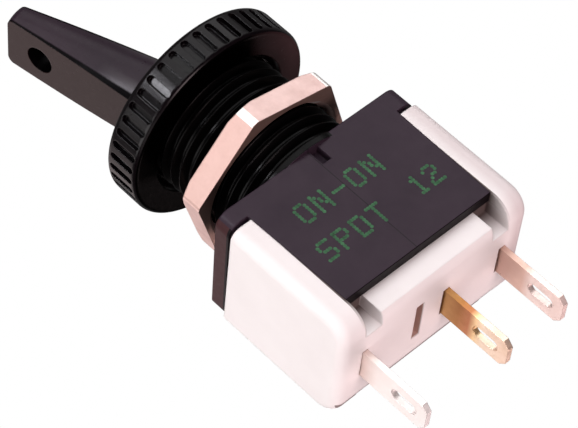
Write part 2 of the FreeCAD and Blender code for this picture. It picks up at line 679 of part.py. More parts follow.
# Cradle: base plate and two ears with open notches for the trunnions
def make_cradle():
    body = new_body("rocker_cradle")
    inner = "(rocker_width / 2 + running_clearance)"
    outer = f"({inner} + cradle_thickness)"
    plate_z = "(blade_thickness - " + floor_top + ")"
    sketch = new_sketch(body, "cradle_plate_outline", "XY_Plane", plate_z)
    add_rectangle(sketch, "-cradle_length / 2", "cradle_length / 2", f"-{outer}", outer)
    extrude(body, "Pad", "cradle_plate", sketch, "cradle_thickness")
    sketch = new_sketch(body, "ears_outline", "XZ_Plane", "0")
    add_rectangle(sketch, "-ear_length / 2", "ear_length / 2", plate_z,
                  f"-{rocker_axis} + trunnion_diameter / 2")
    extrude(body, "Pad", "ears", sketch, f"2 * {outer}", both_ways=True)
    sketch = new_sketch(body, "between_ears_outline", "XZ_Plane", "0")
    add_rectangle(sketch, "-cradle_length", "cradle_length", f"{plate_z} + cradle_thickness", "0")
    extrude(body, "Pocket", "between_ears", sketch, f"2 * {inner}", both_ways=True)
    notch = "(trunnion_diameter / 2 + fit_clearance)"
    sketch = new_sketch(body, "notch_outline", "XZ_Plane", "0")
    add_rectangle(sketch, f"-{notch}", notch, f"-{rocker_axis}", "0")
    extrude(body, "Pocket", "notch", sketch, f"3 * {outer}", both_ways=True)
    sketch = new_sketch(body, "notch_round_outline", "XZ_Plane", "0")
    add_circle(sketch, "0", f"-{rocker_axis}", f"2 * {notch}")
    extrude(body, "Pocket", "notch_round", sketch, f"3 * {outer}", both_ways=True)
    sketch = new_sketch(body, "rivet_hole_outline", "XY_Plane", plate_z)
    add_circle(sketch, "0", "0", "shank_diameter + fit_clearance")
    extrude(body, "Pocket", "rivet_hole", sketch, "3 * cradle_thickness", both_ways=True)
    return body


# Headed button: head above, shank through the sheet below it, made with the sheet's top at zero
def make_button(label, sheet_thickness, head_diameter, head_height):
    body = new_body(label)
    turn_profile(body, "Revolution", "button", [
        ("0", f"-{sheet_thickness}"),
        ("shank_diameter / 2", f"-{sheet_thickness}"),
        ("shank_diameter / 2", "0"),
        (f"{head_diameter} / 2", "0"),
        (f"{head_diameter} / 2", f"{head_height} - contact_edge"),
        (f"{head_diameter} / 2 - contact_edge", head_height),
        ("0", head_height)])
    return body


def make_fixed_contact(label, sign):
    body = make_button(label, "blade_thickness", "contact_diameter", "contact_height")
    body.setExpression("Placement.Base.x", bound(f"{sign}contact_spread"))
    body.setExpression("Placement.Base.z", bound(f"blade_thickness - {floor_top}"))
    return body


def make_moving_contact(label, side):
    """The button hangs below its pad; the far side is the near side turned about the rocker's axis."""
    body = make_button(label, "rocker_thickness", "contact_diameter", "contact_height")
    pad = f"(blade_thickness + 2 * contact_height + contact_gap - {floor_top})"
    drop = f"({pad} + {rocker_axis})"
    if side > 0:
        set_tilt(body, "180", x="contact_spread", z=pad)
    else:
        turn = "(2 * rocker_tilt * 1 deg)"
        set_tilt(body, "180 + 2 * rocker_tilt",
                 x=f"-contact_spread * cos{turn} + {drop} * sin{turn}",
                 z=f"-{rocker_axis} + {drop} * cos{turn} + contact_spread * sin{turn}")
    return body


# The rivet's head sits on the cradle and its closed end in the floor's pocket
def make_rivet():
    body = make_button("cradle_rivet", "(cradle_thickness + blade_thickness)", "rivet_head_diameter",
                       "rivet_head_height")
    sketch = new_sketch(body, "closed_end_outline", "XY_Plane", "-cradle_thickness - blade_thickness")
    add_circle(sketch, "0", "0", "rivet_head_diameter")
    extrude(body, "Pad", "closed_end", sketch, "rivet_head_height", reverse=True)
    body.setExpression("Placement.Base.z", bound(f"blade_thickness + cradle_thickness - {floor_top}"))
    return body


# Terminal: upright blade with a chamfered tip and an eyelet, and a foot bent over the chamber's floor
def make_terminal(label, place, foot_low, foot_high, hole):
    body = new_body(label)
    tip = f"(-{base_bottom} - blade_reach)"
    side = "blade_width / 2"
    sketch = new_sketch(body, "blade_outline", "YZ_Plane", "0")
    add_polygon(sketch, [
        (f"-{side} + blade_chamfer", tip),
        (f"{side} - blade_chamfer", tip),
        (side, f"{tip} + blade_chamfer"),
        (side, f"blade_thickness - {floor_top}"),
        (f"-{side}", f"blade_thickness - {floor_top}"),
        (f"-{side}", f"{tip} + blade_chamfer")])
    extrude(body, "Pad", "blade", sketch, "blade_thickness", both_ways=True)
    sketch = new_sketch(body, "foot_outline", "XY_Plane", f"-{floor_top}")
    add_rectangle(sketch, foot_low, foot_high, f"-{side}", side)
    extrude(body, "Pad", "foot", sketch, "blade_thickness")
    sketch = new_sketch(body, "eyelet_outline", "YZ_Plane", "0")
    centre = f"{tip} + eyelet_inset"
    add_slot(sketch, "0", f"{centre} - eyelet_length / 2", f"{centre} + eyelet_length / 2", "eyelet_width")
    extrude(body, "Pocket", "eyelet", sketch, "2 * blade_thickness", both_ways=True)
    sketch = new_sketch(body, "shank_hole_outline", "XY_Plane", f"-{floor_top}")
    add_circle(sketch, hole, "0", "shank_diameter + fit_clearance")
    extrude(body, "Pocket", "shank_hole", sketch, "3 * blade_thickness", both_ways=True)
    body.setExpression("Placement.Base.x", bound(place))
    return body


# Hex nut: a prism whose corners are cut by a second one and by a turned chamfer on the lever's side
def make_hex_nut():
    def prism(name, across_flats, turn):
        solid = doc.addObject("Part::Prism", name)
        solid.Polygon = 6
        solid.setExpression("Circumradius", bound(f"{across_flats} / 2 / cos(30 * 1 deg)"))
        solid.setExpression("Height", bound("hex_thickness"))
        solid.Placement = FreeCAD.Placement(FreeCAD.Vector(), FreeCAD.Rotation(FreeCAD.Vector(0, 0, 1), 1))
        solid.setExpression("Placement.Rotation.Angle", bound(turn))
        return solid

    def cone(name, low_radius, high_radius, height, lift):
        solid = doc.addObject("Part::Cone", name)
        for size_name, text in (("Radius1", low_radius), ("Radius2", high_radius), ("Height", height)):
            solid.setExpression(size_name, bound(text))
        solid.setExpression("Placement.Base.z", bound(lift))
        return solid

    def join(kind, name, base, tool):
        result = doc.addObject(f"Part::{kind}", name)
        result.Base = base
        result.Tool = tool
        return result

    bore_radius = f"{nut_bore} / 2"
    mouth_radius = f"{nut_bore} / 2 + nut_countersink"
    across_flats = f"({nut_bore} + 2 * hex_wall)"
    across_corners = f"({across_flats} / cos(30 * 1 deg) - 2 * hex_corner_cut)"
    corner = f"{across_corners} / 2"
    hexagon = join("Common", "hexagon", prism("flats", across_flats, "0"),
                   prism("corner_cuts", across_corners, "30"))
    crown = cone("crown", f"{corner} + 2 * hex_thickness - hex_chamfer", f"{corner} - hex_chamfer",
                 "hex_thickness", "0")
    crowned = join("Common", "crowned_hexagon", hexagon, crown)
    bore = doc.addObject("Part::Cylinder", "hex_bore")
    bore.setExpression("Radius", bound(bore_radius))
    bore.setExpression("Height", bound("hex_thickness"))
    open_nut = join("Cut", "bored_hexagon", crowned, bore)
    low = cone("low_countersink", mouth_radius, bore_radius, "nut_countersink", "0")
    high = cone("high_countersink", bore_radius, mouth_radius, "nut_countersink",
                "hex_thickness - nut_countersink")
    nut = join("Cut", "hex_nut", join("Cut", "low_opened", open_nut, low), high)
    nut.Label = "hex_nut"
    nut.Placement = FreeCAD.Placement(FreeCAD.Vector(), FreeCAD.Rotation(FreeCAD.Vector(0, 0, 1), 1))
    nut.setExpression("Placement.Rotation.Angle", bound("hex_turn"))
    nut.setExpression("Placement.Base.z", bound("hex_height"))
    return nut


# Ring nut: turned ring with axial recesses that are closed by a rim at either end
def make_ring_nut():
    body = new_body("ring_nut")
    bore = f"{nut_bore} / 2"
    outer = f"({bore} + ring_wall)"
    turned = turn_profile(body, "Revolution", "ring", [
        (f"{bore} + nut_countersink", "0"),
        (outer, "0"),
        (outer, "ring_thickness"),
        (f"{bore} + nut_countersink", "ring_thickness"),
        (bore, "ring_thickness - nut_countersink"),
        (bore, "nut_countersink")])
    outer_radius = value("thread_diameter") / 2 + value("fit_clearance") + value("ring_wall")
    dress(body, "Fillet", "rim_roundings", turned, "Radius",
          f"min(ring_rounding; ({outer} - {bore} - nut_countersink) / 2)",
          lambda edge: near(edge.BoundBox.XMax, outer_radius) and near(edge.BoundBox.ZLength, 0))
    sketch = new_sketch(body, "knurl_outline", "XZ_Plane", f"{outer} - knurl_depth")
    add_slot(sketch, "0", "knurl_rear_rim", "(ring_thickness - knurl_front_rim)", "knurl_width")
    recess = extrude(body, "Pocket", "knurl_recess", sketch, "2 * knurl_depth", reverse=True)
    knurl = body.newObject("PartDesign::PolarPattern", "knurl")
    knurl.Originals = [recess]
    knurl.Axis = (turned.Profile[0], ["V_Axis"])
    knurl.Angle = 360
    knurl.setExpression("Occurrences", bound("knurl_count"))
    body.Tip = knurl
    body.Placement = FreeCAD.Placement(FreeCAD.Vector(), FreeCAD.Rotation(FreeCAD.Vector(0, 0, 1), 1))
    body.setExpression("Placement.Rotation.Angle", bound("ring_turn"))
    body.setExpression("Placement.Base.z", bound("ring_height"))
    return body


parts = [
    make_cover(),
    make_base(),
    make_lever(),
    make_pin(),
    make_clip(),
    make_seal(),
    make_plunger(),
    make_spring(),
    make_rocker(),
    make_moving_contact("moving_contact_left", -1),
    make_moving_contact("moving_contact_right", 1),
    make_cradle(),
    make_rivet(),
    make_terminal("left_terminal", "-terminal_spread", "-blade_thickness / 2",
                  "terminal_spread - foot_reach", "terminal_spread - contact_spread"),
    make_terminal("common_terminal", "common_offset", "-common_offset - cradle_length / 2",
                  "blade_thickness / 2", "-common_offset"),
    make_terminal("right_terminal", "terminal_spread", "foot_reach - terminal_spread", "blade_thickness / 2",
                  "contact_spread - terminal_spread"),
    make_fixed_contact("fixed_contact_left", "-"),
    make_fixed_contact("fixed_contact_right", ""),
    make_hex_nut(),
    make_ring_nut(),
]
doc.recompute()

for item in doc.Objects:
    if "Invalid" in item.State or "Error" in item.State:
        raise SystemExit(f"{item.Label} failed: {item.State}")

os.makedirs("parts", exist_ok=True)
for part in parts:
    shape = part.Shape
    if shape.isNull() or not shape.isValid():
        raise SystemExit(f"{part.Label} has no valid shape")
    shape.exportStep(f"parts/{part.Label}.step")
    print(part.Label, len(shape.Solids), round(shape.Volume, 2))
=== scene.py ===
import math

import bpy
import numpy as np
from mathutils import Euler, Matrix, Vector


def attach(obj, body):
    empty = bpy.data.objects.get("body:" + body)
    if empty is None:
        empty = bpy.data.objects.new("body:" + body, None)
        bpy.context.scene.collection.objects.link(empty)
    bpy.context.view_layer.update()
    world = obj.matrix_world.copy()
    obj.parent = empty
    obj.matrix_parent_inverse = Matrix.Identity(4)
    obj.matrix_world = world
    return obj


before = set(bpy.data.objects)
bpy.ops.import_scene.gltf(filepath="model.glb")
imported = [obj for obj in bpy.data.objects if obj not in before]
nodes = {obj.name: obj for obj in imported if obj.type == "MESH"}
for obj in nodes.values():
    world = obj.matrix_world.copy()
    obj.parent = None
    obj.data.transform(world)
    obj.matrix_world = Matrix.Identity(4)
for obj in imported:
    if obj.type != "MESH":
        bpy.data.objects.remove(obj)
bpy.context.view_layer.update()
mm = 0.001
print("frame loaded:", len(nodes), "nodes")


# Camera, found from the edges of the case, the nuts and the lever in the photograph
cameraSettings = {
    "place": (-92.476 * mm, -154.508 * mm, -79.570 * mm),
    "turn": (123.866, 43.461, -5.578),     # degrees about X, Y and Z
    "lens": 161.94,                        # millimetres on a 36 mm wide sensor
    "sensor": 36,
    "clipStart": 10 * mm,
    "clipEnd": 20.0,
}

cameraData = bpy.data.cameras.new("camera")
cameraData.lens = cameraSettings["lens"]
cameraData.sensor_width = cameraSettings["sensor"]
cameraData.clip_start = cameraSettings["clipStart"]
cameraData.clip_end = cameraSettings["clipEnd"]
camera = bpy.data.objects.new("camera", cameraData)
camera.location = cameraSettings["place"]
camera.rotation_euler = Euler([math.radians(angle) for angle in cameraSettings["turn"]], "XYZ")
bpy.context.scene.collection.objects.link(camera)
bpy.context.scene.camera = camera
bpy.context.scene.view_settings.view_transform = "Standard"
print("camera placed")


# New material with a Principled shader on its output
def startMaterial(name):
    material = bpy.data.materials.new(name)
    material.use_nodes = True
    tree = material.node_tree
    tree.nodes.clear()
    output = tree.nodes.new("ShaderNodeOutputMaterial")
    shader = tree.nodes.new("ShaderNodeBsdfPrincipled")
    tree.links.new(shader.outputs["BSDF"], output.inputs["Surface"])
    return material, tree, shader


# One node: settings are its properties, inputs are values or sockets by input name
def addNode(tree, kind, settings=None, **inputs):
    node = tree.nodes.new(kind)
    for key, setting in (settings or {}).items():
        setattr(node, key, setting)
    for key, given in inputs.items():
        feed(tree, given, node.inputs[key.replace("_", " ")])
    return node


# A value or a socket into an input
def feed(tree, given, socket):
    if isinstance(given, bpy.types.NodeSocket):
        tree.links.new(given, socket)
    else:
        socket.default_value = given


# One operation on one or two terms
def maths(tree, operation, *terms):
    node = tree.nodes.new("ShaderNodeMath")
    node.operation = operation
    for socket, term in zip(node.inputs, terms):
        feed(tree, term, socket)
    return node.outputs[0]


# Colour ramp with (position, colour) stops, colours as red, green, blue
def rampOf(tree, factor, stops):
    ramp = addNode(tree, "ShaderNodeValToRGB", Fac=factor)
    elements = ramp.color_ramp.elements
    while len(elements) < len(stops):
        elements.new(0.5)
    for element, (position, colour) in zip(elements, stops):
        element.position = position
        element.color = (*colour, 1)
    return ramp.outputs["Color"]


# Blend of two colours by a factor between 0 and 1, or the first times the second with MULTIPLY
def blendOf(tree, factor, first, second, kind="MIX"):
    node = addNode(tree, "ShaderNodeMix", {"data_type": "RGBA", "blend_type": kind})
    feed(tree, factor, node.inputs["Factor"])
    colours = [socket for socket in node.inputs if socket.type == "RGBA"]
    for socket, given in zip(colours, (first, second)):
        feed(tree, (*given, 1) if isinstance(given, tuple) else given, socket)
    return next(socket for socket in node.outputs if socket.type == "RGBA")


# 0 below the low level, 1 above the high one and a straight rise between them
def riseOf(tree, given, low, high):
    return addNode(tree, "ShaderNodeMapRange", {"clamp": True}, Value=given, From_Min=low,
                   From_Max=high).outputs["Result"]


# The low level where the factor is 0, the high one where it is 1
def levelOf(tree, factor, low, high):
    return addNode(tree, "ShaderNodeMapRange", {"clamp": True}, Value=factor, To_Min=low,
                   To_Max=high).outputs["Result"]


# The same level of red, green and blue
def grey(level):
    return (level, level, level)


# 1 only where every mask is 1
def allOf(tree, *masks):
    shared = masks[0]
    for mask in masks[1:]:
        shared = maths(tree, "MULTIPLY", shared, mask)
    return shared


# 1 where a value is over a level
def over(tree, given, level):
    return maths(tree, "GREATER_THAN", given, level)


# 1 where a value is under a level
def below(tree, given, level):
    return maths(tree, "LESS_THAN", given, level)


# 1 where the mask is 0
def outside(tree, mask):
    return maths(tree, "SUBTRACT", 1, mask)


# Sum of two coordinates, each times its own part
def mixOf(tree, first, firstPart, second, secondPart):
    return maths(tree, "ADD", maths(tree, "MULTIPLY", first, firstPart),
                 maths(tree, "MULTIPLY", second, secondPart))


# Root of the sum of the squares of two coordinates
def radiusOf(tree, first, second):
    return maths(tree, "SQRT", mixOf(tree, first, first, second, second))


# What every finish has in common
finishSettings = {
    "cloud": {"Detail": 4.0, "Roughness": 0.6},
    "grain": {"Detail": 3.0, "Roughness": 0.65},
    "toneStops": (0.3, 0.7),               # noise levels of the first and the second tone
    "specular": 0.5,
    "reliefDepth": 0.02,
    "edgeSamples": 8,
}


# Two tones between the noise's two levels
def tonesOf(tree, noise, first, second):
    firstStop, secondStop = finishSettings["toneStops"]
    return rampOf(tree, noise.outputs["Fac"], [(firstStop, first), (secondStop, second)])


# Mottled colour: two tones by a cloud noise, and a speck in the asked share of a fine noise's cells
def mottled(tree, place, look):
    cloud = addNode(tree, "ShaderNodeTexNoise", Vector=place, Scale=look["cloudScale"],
                    **finishSettings["cloud"])
    colour = tonesOf(tree, cloud, look["dark"], look["light"])
    if "speck" in look:
        dots = addNode(tree, "ShaderNodeTexVoronoi", Vector=place, Scale=look["speckScale"], Randomness=1.0)
        chance = addNode(tree, "ShaderNodeSeparateColor", Color=dots.outputs["Color"]).outputs[0]
        near = below(tree, dots.outputs["Distance"], look["speckSize"])
        shown = allOf(tree, near, over(tree, chance, 1 - look["speckShare"]))
        colour = blendOf(tree, shown, colour, look["speck"])
    return colour


# Moulded, plated or stamped finish: mottled colour, uneven gloss, fine relief and softened edges.
# The zone function, if there is one, changes the colour, gloss and shine of part of the surface.
def plainFinish(name, look, zone=None):
    material, tree, shader = startMaterial(name)
    place = addNode(tree, "ShaderNodeTexCoord").outputs["Object"]
    grain = addNode(tree, "ShaderNodeTexNoise", Vector=place, Scale=look["grainScale"],
                    **finishSettings["grain"])
    colour = mottled(tree, place, look)
    gloss = tonesOf(tree, grain, grey(look["rough"][0]), grey(look["rough"][1]))
    shine = look.get("specular", finishSettings["specular"])
    if zone:
        colour, gloss, shine = zone(tree, place, colour, gloss, shine)
    tree.links.new(colour, shader.inputs["Base Color"])
    tree.links.new(gloss, shader.inputs["Roughness"])
    shader.inputs["Metallic"].default_value = look.get("metal", 0.0)
    feed(tree, shine, shader.inputs["Specular IOR Level"])
    normal = {}
    if look["edge"]:
        edge = addNode(tree, "ShaderNodeBevel", {"samples": finishSettings["edgeSamples"]},
                       Radius=look["edge"] * mm)
        normal["Normal"] = edge.outputs[0]
    relief = addNode(tree, "ShaderNodeBump", Strength=look["relief"],
                     Distance=finishSettings["reliefDepth"] * mm, Height=grain.outputs["Fac"], **normal)
    tree.links.new(relief.outputs["Normal"], shader.inputs["Normal"])
    return material


# Distances along the axes, in millimetres, from the Object coordinates
def axesOf(tree, place):
    parts = addNode(tree, "ShaderNodeSeparateXYZ", Vector=place)
    return [maths(tree, "MULTIPLY", parts.outputs[i], 1 / mm) for i in range(3)]


# 1 where a coordinate is between two levels, with a soft edge of the given width
def bandOf(tree, given, low, high, soft=0.05):
    enter = riseOf(tree, given, low - soft / 2, low + soft / 2)
    leave = riseOf(tree, given, high - soft / 2, high + soft / 2)
    return maths(tree, "SUBTRACT", enter, leave)


# Housing cover: satin purple-grey roof and plates, glossy near-black bushing, a faint parting line under
# the notch; the roof's end faces carry a painted browner shade, and they and the plates carry a painted
# black shadow along their lower edge
coverLook = {
    "dark": (0.027, 0.0155, 0.026), "light": (0.036, 0.022, 0.034), "rough": (0.34, 0.46),
    "cloudScale": 300.0, "grainScale": 2600.0, "relief": 0.12, "edge": 0.16, "specular": 0.13,
    "speck": (0.16, 0.13, 0.16), "speckScale": 520.0, "speckSize": 0.05, "speckShare": 0.10,
    "bushing": (0.0012, 0.0010, 0.0011),
    "bushingGloss": 0.26,
    "bushingRadius": 6.06,
    "bushingFoot": 0.03,
    "dullShine": 0.07,                     # of the bushing and of the painted shade on the end faces and lower edges
    "partingPlace": -0.27,
    "partingWidth": 0.07,
    "partingColour": (0.008, 0.005, 0.008),
    "plateFront": -5.5,
    # height under which the lower edges get a painted black shadow, and that shadow's colour
    "plateEnd": -11.42,
    "edgeShadowColour": (0.004, 0.002, 0.003),
    "stripAcross": 9.2,
    # painted darker, browner shade on the roof's end faces
    "endShadeColour": (0.050, 0.018, 0.020),
    "stripEdge": -1.2,
}


# Bushing where the radius is under its own and the height over its foot. The line is a thin band in front.
# An end face, which gets painted shade, is where the distance from the middle is nearly the roof's half
# length.
# The painted black shadow lies on the end faces' lower part and along the plates' lower edge.
def coverZone(tree, place, colour, gloss, shine):
    look = coverLook
    across, deep, high = axesOf(tree, place)
    bushing = allOf(tree, below(tree, radiusOf(tree, across, deep), look["bushingRadius"]),
                    over(tree, high, look["bushingFoot"]))
    half = look["partingWidth"] / 2
    middle = look["partingPlace"]
    line = allOf(tree, bandOf(tree, across, middle - half, middle + half),
                 below(tree, deep, look["plateFront"]))
    # The end faces get a painted shade; the dark mask below is a painted black shadow along the lower edges
    shadedEnds = over(tree, maths(tree, "ABSOLUTE", across), look["stripAcross"])
    dark = maths(tree, "MAXIMUM", allOf(tree, shadedEnds, below(tree, high, look["stripEdge"])),
                 below(tree, high, look["plateEnd"]))
    colour = blendOf(tree, line, colour, look["partingColour"])
    colour = blendOf(tree, shadedEnds, colour, look["endShadeColour"])
    colour = blendOf(tree, dark, colour, look["edgeShadowColour"])
    colour = blendOf(tree, bushing, colour, look["bushing"])
    gloss = blendOf(tree, bushing, gloss, grey(look["bushingGloss"]))
    dull = maths(tree, "MAXIMUM", bushing, maths(tree, "MAXIMUM", shadedEnds, dark))
    return colour, gloss, levelOf(tree, dull, shine, look["dullShine"])


# Terminal base: white moulding, with painted brown shade inside its slots and at their mouths, a painted dark
# shade line along its far lower edge, and painted shade in its corner recesses and a little towards its far
# end
baseLook = {
    "dark": (0.92, 0.875, 0.87), "light": (0.96, 0.92, 0.915), "rough": (0.42, 0.55),
    "cloudScale": 220.0, "grainScale": 1800.0, "relief": 0.2, "edge": 0.2, "specular": 0.3,
    "speck": (0.62, 0.50, 0.46), "speckScale": 330.0, "speckSize": 0.03, "speckShare": 0.10,
    "slotShadeColour": (0.72, 0.50, 0.44),
    "slotFrom": -13.62,
    "slotAcross": 7.6,
    "slotDeep": 2.45,
    "darkShadeColour": (0.10, 0.040, 0.030),
    "mouthWidth": 0.42,
    "mouthDeep": 1.47,
    "mouths": (1.27, 7.2),                 # x of the middle and right blades
    "underside": -13.69,
    "recessShadeColour": (0.12, 0.09, 0.085),
    "recessAcross": (5.75, 7.62),
    "recessDeep": 3.2,
    "recessHigh": (-13.65, -11.45),        # heights where the shade starts and is full
    "farShadeColour": (0.50, 0.36, 0.37),
    "farAcross": (7.7, 8.5),               # x where the shade starts and is full
    "farShare": 0.35,
    "edgeDeep": 3.80,
    "edgeBelow": -13.4,
    "edgeLast": 6.9,                       # x where the line stops
    "edgeShare": 0.75,
}


# Painted shade inside the slots: above the underside and near the middle line, where only their walls are.
# A mouth's painted shade is a narrow band to the left of its blade's middle; the painted shade of a corner
# recess darkens towards its inner end. The far end and the far lower edge get painted shade too.
def baseZone(tree, place, colour, gloss, shine):
    look = baseLook
    across, deep, high = axesOf(tree, place)
    aside = maths(tree, "ABSOLUTE", across)
    off = maths(tree, "ABSOLUTE", deep)
    slotShade = allOf(tree, over(tree, high, look["slotFrom"]), below(tree, aside, look["slotAcross"]),
                   below(tree, off, look["slotDeep"]))
    colour = blendOf(tree, slotShade, colour, look["slotShadeColour"])
    beside = allOf(tree, below(tree, high, look["underside"]), below(tree, off, look["mouthDeep"]))
    for middle in look["mouths"]:
        mouthShade = allOf(tree, beside, bandOf(tree, across, middle - look["mouthWidth"], middle))
        colour = blendOf(tree, mouthShade, colour, look["darkShadeColour"])
    recessShade = allOf(tree, bandOf(tree, aside, *look["recessAcross"]), over(tree, off, look["recessDeep"]),
                   riseOf(tree, high, *look["recessHigh"]))
    colour = blendOf(tree, recessShade, colour, look["recessShadeColour"])
    # painted shade towards the far end
    farShade = allOf(tree, riseOf(tree, across, *look["farAcross"]), look["farShare"])
    colour = blendOf(tree, farShade, colour, look["farShadeColour"])
    # painted dark shade line along the far lower edge
    edge = allOf(tree, over(tree, deep, look["edgeDeep"]), below(tree, high, look["edgeBelow"]),
                 below(tree, across, look["edgeLast"]), look["edgeShare"])
    return blendOf(tree, edge, colour, look["darkShadeColour"]), gloss, shine


# Lever: purple-grey sides, flats in a painted browner shade, a painted black shade band beside each flat that
# widens to the root, and painted black shade in the eye
leverLook = {
    "dark": (0.022, 0.012, 0.020), "light": (0.031, 0.018, 0.028), "rough": (0.26, 0.36),
    "cloudScale": 260.0, "grainScale": 2200.0, "relief": 0.15, "edge": 0.12, "specular": 0.15,
    "speck": (0.30, 0.28, 0.30), "speckScale": 400.0, "speckSize": 0.045, "speckShare": 0.05,
    "flat": (0.0165, 0.0055, 0.0055),
    "flatSkin": 0.02,
    "bandShadeColour": (0.0015, 0.0010, 0.0015),
    "ridgeShine": 0.03,
    "sheenWidth": 0.9,                     # how far past the band
    "sheenFade": (7.5, 13.0),              # heights over the pivot between which it fades
    "sheenShine": 1.0,
    "sheenGloss": 0.40,
    "tilt": 16.17,                         # degrees
    "pivot": 6.0,
    "rootLift": 6.6,                       # over the pivot
    "tipLift": 21.7,
    "halfThickness": (2.775, 0.9),         # of the flats, at root and tip
    "bandWidth": (0.52, 0.20),
    "bandSoft": 0.12,
    "eyeLift": 18.43,
    "eyeRadius": 1.22,
}


# In the lever's own axes a point's depth under the flat is the flat's half thickness there less its own
# distance from the middle plane. It is on the flat where that depth is nil, in the band where it is less than
# the band's width, and in the sheen a little past the band, near the root. The flats' browner tone, the
# band's black and the eye's black are painted shade.
def leverZone(tree, place, colour, gloss, shine):
    look = leverLook
    lean = math.radians(look["tilt"])
    across, deep, high = axesOf(tree, place)
    lift = maths(tree, "SUBTRACT", high, look["pivot"])
    side = mixOf(tree, across, math.cos(lean), lift, math.sin(lean))
    along = mixOf(tree, across, -math.sin(lean), lift, math.cos(lean))
    share = riseOf(tree, along, look["rootLift"], look["tipLift"])
    half = levelOf(tree, share, *look["halfThickness"])
    width = levelOf(tree, share, *look["bandWidth"])
    under = maths(tree, "SUBTRACT", half, maths(tree, "ABSOLUTE", side))
    onFlat = below(tree, under, look["flatSkin"])
    offFlat = outside(tree, onFlat)
    band = riseOf(tree, maths(tree, "SUBTRACT", width, under), 0, look["bandSoft"])
    reach = radiusOf(tree, deep, maths(tree, "SUBTRACT", along, look["eyeLift"]))
    # painted black shade in the eye and in the band beside each flat
    bandAndEyeShade = maths(tree, "MAXIMUM", allOf(tree, below(tree, reach, look["eyeRadius"]), offFlat),
                  allOf(tree, band, offFlat))
    past = riseOf(tree, maths(tree, "SUBTRACT", under, width), 0, look["sheenWidth"])
    sheen = allOf(tree, outside(tree, past), outside(tree, riseOf(tree, along, *look["sheenFade"])), offFlat)
    # the flats' browner tone is painted shade
    colour = blendOf(tree, onFlat, colour, look["flat"])
    colour = blendOf(tree, bandAndEyeShade, colour, look["bandShadeColour"])
    gloss = blendOf(tree, sheen, gloss, grey(look["sheenGloss"]))
    shine = allOf(tree, levelOf(tree, sheen, shine, look["sheenShine"]), outside(tree, bandAndEyeShade))
    return colour, gloss, maths(tree, "MAXIMUM", shine, look["ridgeShine"])


# Terminals: painted highlights and painted shade change along the blade over the metal's own colour; a tone's
# place is its share of the reach over the tip
bladeLook = {
    "rough": (0.32, 0.46), "cloudScale": 500.0, "grainScale": 2500.0, "relief": 0.25, "edge": 0.05,
    "speck": (0.30, 0.18, 0.12), "speckScale": 700.0, "speckSize": 0.05, "speckShare": 0.12,
    "tip": -20.25,
    "reach": 6.55,
}
bladeTones = {
    "leftTin": {"dark": (0.88, 0.87, 0.86), "light": (0.95, 0.94, 0.94), "metal": 0.5,
                "tones": [(0.0, (1.0, 0.97, 0.95)), (0.75, (1.0, 0.95, 0.92)), (0.95, (0.92, 0.78, 0.72))]},
    "middleBrass": {"dark": (0.80, 0.70, 0.58), "light": (0.98, 0.92, 0.84), "metal": 0.85,
                    "tones": [(0.0, (0.98, 0.84, 0.76)), (0.38, (1.0, 0.94, 0.86)),
                              (0.50, (1.0, 0.80, 0.50)), (0.60, (0.55, 0.24, 0.12)),
                              (0.76, (0.50, 0.25, 0.09)), (0.95, (0.66, 0.42, 0.18))]},
    "rightTin": {"dark": (0.86, 0.78, 0.74), "light": (0.97, 0.90, 0.87), "metal": 0.6,
                 "tones": [(0.0, (1.0, 0.88, 0.85)), (0.50, (0.98, 0.90, 0.87)), (0.62, (0.78, 0.58, 0.50)),
                           (0.95, (0.76, 0.57, 0.49))]},
}


# Colour times the painted light and shade at this height along the blade
def bladeLightAndShade(tones):
    def zone(tree, place, colour, gloss, shine):
        high = axesOf(tree, place)[2]
        along = riseOf(tree, high, bladeLook["tip"], bladeLook["tip"] + bladeLook["reach"])
        return blendOf(tree, 1.0, colour, rampOf(tree, along, tones), "MULTIPLY"), gloss, shine
    return zone


# Hex nut: pinkish plating, a painted near-white highlight on the cut corners in front, and painted shade on
# the face that the key lamp lights most and on the side towards the housing
nutLook = {
    "dark": (0.73, 0.52, 0.48), "light": (0.86, 0.64, 0.60), "rough": (0.42, 0.58), "metal": 0.85,
    "cloudScale": 700.0, "grainScale": 3000.0, "relief": 0.25, "edge": 0.12,
    "speck": (0.60, 0.42, 0.38), "speckScale": 500.0, "speckSize": 0.07, "speckShare": 0.25,
    "corners": 6,
    "turn": 11.5,                          # degrees
    "cornerHighlight": (1.0, 0.97, 0.94),
    "cornerAbove": 0.962,
    "cornerBefore": -4.0,                  # y
    "sides": (3.39, 5.35),                 # heights between which the faces stand upright
    "underShadeColour": (0.40, 0.26, 0.22),
    "litNormal": (-0.749, -0.663),         # of the face that the key lamp lights most
    "litFrom": 6.9,                        # a little less than the face's distance from the axis
    "litFaceShade": (0.56, 0.37, 0.32),
    "litShare": 0.75,
}


# The cosine of six times the angle round the axis, from the nut's own turn, is nearly one at each corner.
# A point is on the lit face, which gets painted shade, where its distance along the face's normal is nearly
# the face's own. The front corners get a painted highlight, the side under the upright faces painted shade.
def nutZone(tree, place, colour, gloss, shine):
    look = nutLook
    across, deep, high = axesOf(tree, place)
    angle = maths(tree, "SUBTRACT", maths(tree, "ARCTAN2", deep, across), math.radians(look["turn"]))
    wave = maths(tree, "COSINE", maths(tree, "MULTIPLY", angle, look["corners"]))
    corner = allOf(tree, over(tree, wave, look["cornerAbove"]), below(tree, deep, look["cornerBefore"]),
                   bandOf(tree, high, *look["sides"]))
    acrossPart, deepPart = look["litNormal"]
    reach = mixOf(tree, across, acrossPart, deep, deepPart)
    lit = allOf(tree, over(tree, reach, look["litFrom"]), look["litShare"])
    # painted shade on the lit face, a painted highlight on the front corners and painted shade underneath
    colour = blendOf(tree, lit, colour, look["litFaceShade"])
    colour = blendOf(tree, corner, colour, look["cornerHighlight"])
    colour = blendOf(tree, below(tree, high, look["sides"][0]), colour, look["underShadeColour"])
    return colour, gloss, shine


